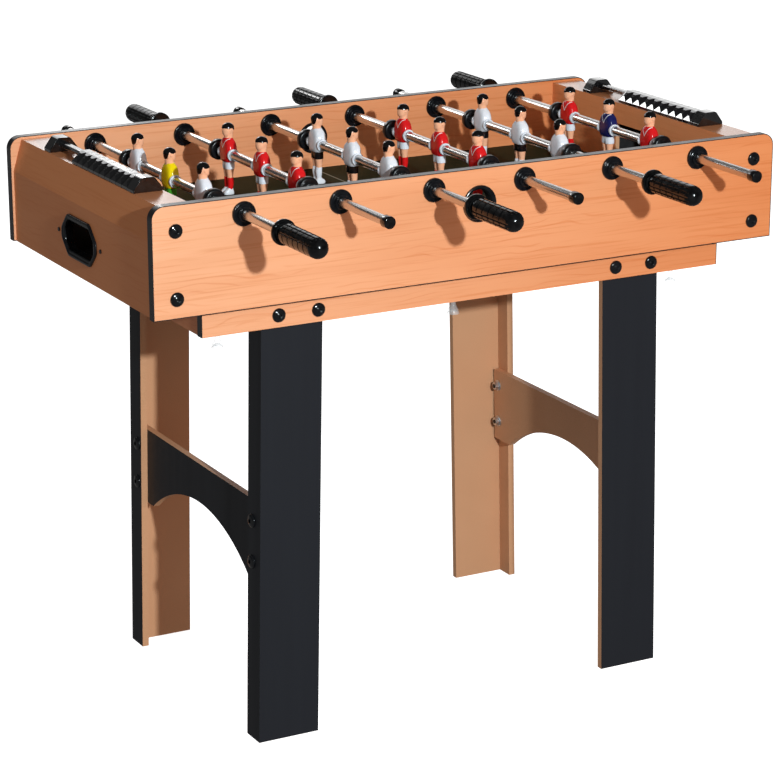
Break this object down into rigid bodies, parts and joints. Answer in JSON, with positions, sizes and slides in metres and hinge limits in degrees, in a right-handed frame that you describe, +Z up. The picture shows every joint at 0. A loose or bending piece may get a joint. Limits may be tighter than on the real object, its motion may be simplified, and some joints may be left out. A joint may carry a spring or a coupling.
{
  "type": "foosball table",
  "caption": "Table football game with sliding, spinning player rods, goals with ball returns and sliding scorers, on folded board legs.",
  "frame": {"origin": "on the floor, midway between the four legs, under the middle of the playing surface", "axes": "+X along the table, from the white team's goal to the red team's; +Y from the front side panel to the back; +Z up"},
  "size_m": [0.87, 0.826, 0.728],
  "materials": {
    "beech": "satin laminate",
    "edge_band": "satin",
    "liner": "matt",
    "black_trim": "satin",
    "black_screw": "black oxide",
    "turf": "printed board",
    "raw_board": "raw fibreboard",
    "clear_vinyl": "clear",
    "charcoal_board": "satin laminate",
    "zinc": "zinc plated",
    "bushing": "satin",
    "rod_chrome": "polished",
    "grip_black": "gloss",
    "ring_rubber": "satin",
    "white_plastic": "gloss",
    "red_plastic": "gloss",
    "scorer_black": "gloss"
  },
  "bodies": {
    "table": {"front_panel": "beech", "back_panel": "beech", "edge_bands": "edge_band", "end_wall_left": "beech", "end_wall_right": "beech", "goal_boxes": "liner", "return_rims": "black_trim", "box_screws": "black_screw", "playfield": "turf", "corner_blocks": "raw_board", "apron_front": "beech", "apron_back": "beech", "apron_ends": "beech", "suction_feet": "clear_vinyl", "leg_front_left": "charcoal_board", "leg_front_right": "charcoal_board", "leg_back_left": "charcoal_board", "leg_back_right": "charcoal_board", "stretcher_left": "charcoal_board", "stretcher_right": "charcoal_board", "panel_bolts": "black_screw", "leg_bolts": "black_screw", "leg_nuts": "zinc", "rod_bushings": "bushing", "ball_entries": "black_trim", "scorer_rails": "scorer_black"},
    "white_keeper_slider": {"white_keeper_rings": "ring_rubber"},
    "white_keeper_rod": {"white_keeper_tube": "rod_chrome", "white_keeper_handle": "grip_black", "white_keeper_cap": "grip_black", "white_keeper_men": "white_plastic"},
    "red_attack_slider": {"red_attack_rings": "ring_rubber"},
    "red_attack_rod": {"red_attack_tube": "rod_chrome", "red_attack_handle": "grip_black", "red_attack_cap": "grip_black", "red_attack_men": "red_plastic"},
    "white_midfield_slider": {"white_midfield_rings": "ring_rubber"},
    "white_midfield_rod": {"white_midfield_tube": "rod_chrome", "white_midfield_handle": "grip_black", "white_midfield_cap": "grip_black", "white_midfield_men": "white_plastic"},
    "red_midfield_slider": {"red_midfield_rings": "ring_rubber"},
    "red_midfield_rod": {"red_midfield_tube": "rod_chrome", "red_midfield_handle": "grip_black", "red_midfield_cap": "grip_black", "red_midfield_men": "red_plastic"},
    "white_attack_slider": {"white_attack_rings": "ring_rubber"},
    "white_attack_rod": {"white_attack_tube": "rod_chrome", "white_attack_handle": "grip_black", "white_attack_cap": "grip_black", "white_attack_men": "white_plastic"},
    "red_keeper_slider": {"red_keeper_rings": "ring_rubber"},
    "red_keeper_rod": {"red_keeper_tube": "rod_chrome", "red_keeper_handle": "grip_black", "red_keeper_cap": "grip_black", "red_keeper_men": "red_plastic"},
    "left_counter_stack": {"left_counters": "scorer_black"},
    "left_counter_lead": {"left_counter_first": "scorer_black"},
    "right_counter_stack": {"right_counters": "scorer_black"},
    "right_counter_lead": {"right_counter_first": "scorer_black"}
  },
  "joints": [
    {"name": "white_keeper_slide", "type": "slide", "parent": "table", "child": "white_keeper_slider", "axis": [0, 1, 0], "range_m": [-0.059, 0.096]},
    {"name": "white_keeper_spin", "type": "hinge", "parent": "white_keeper_slider", "child": "white_keeper_rod", "pos_m": [-0.3175, 0, 0.688], "axis": [0, 1, 0], "continuous": true},
    {"name": "red_attack_slide", "type": "slide", "parent": "table", "child": "red_attack_slider", "axis": [0, 1, 0], "range_m": [-0.058, 0.097]},
    {"name": "red_attack_spin", "type": "hinge", "parent": "red_attack_slider", "child": "red_attack_rod", "pos_m": [-0.1905, 0, 0.688], "axis": [0, 1, 0], "continuous": true},
    {"name": "white_midfield_slide", "type": "slide", "parent": "table", "child": "white_midfield_slider", "axis": [0, 1, 0], "range_m": [-0.062, 0.093]},
    {"name": "white_midfield_spin", "type": "hinge", "parent": "white_midfield_slider", "child": "white_midfield_rod", "pos_m": [-0.0635, 0, 0.688], "axis": [0, 1, 0], "continuous": true},
    {"name": "red_midfield_slide", "type": "slide", "parent": "table", "child": "red_midfield_slider", "axis": [0, 1, 0], "range_m": [-0.057, 0.098]},
    {"name": "red_midfield_spin", "type": "hinge", "parent": "red_midfield_slider", "child": "red_midfield_rod", "pos_m": [0.0635, 0, 0.688], "axis": [0, 1, 0], "continuous": true},
    {"name": "white_attack_slide", "type": "slide", "parent": "table", "child": "white_attack_slider", "axis": [0, 1, 0], "range_m": [-0.072, 0.083]},
    {"name": "white_attack_spin", "type": "hinge", "parent": "white_attack_slider", "child": "white_attack_rod", "pos_m": [0.1905, 0, 0.688], "axis": [0, 1, 0], "continuous": true},
    {"name": "red_keeper_slide", "type": "slide", "parent": "table", "child": "red_keeper_slider", "axis": [0, 1, 0], "range_m": [-0.052, 0.103]},
    {"name": "red_keeper_spin", "type": "hinge", "parent": "red_keeper_slider", "child": "red_keeper_rod", "pos_m": [0.3175, 0, 0.688], "axis": [0, 1, 0], "continuous": true},
    {"name": "left_stack_slide", "type": "slide", "parent": "table", "child": "left_counter_stack", "axis": [0, 1, 0], "range_m": [0, 0.035]},
    {"name": "left_lead_slide", "type": "slide", "parent": "left_counter_stack", "child": "left_counter_lead", "axis": [0, 1, 0], "range_m": [0, 0.0345]},
    {"name": "right_stack_slide", "type": "slide", "parent": "table", "child": "right_counter_stack", "axis": [0, 1, 0], "range_m": [0, 0.035]},
    {"name": "right_lead_slide", "type": "slide", "parent": "right_counter_stack", "child": "right_counter_lead", "axis": [0, 1, 0], "range_m": [0, 0.0345]}
  ]
}
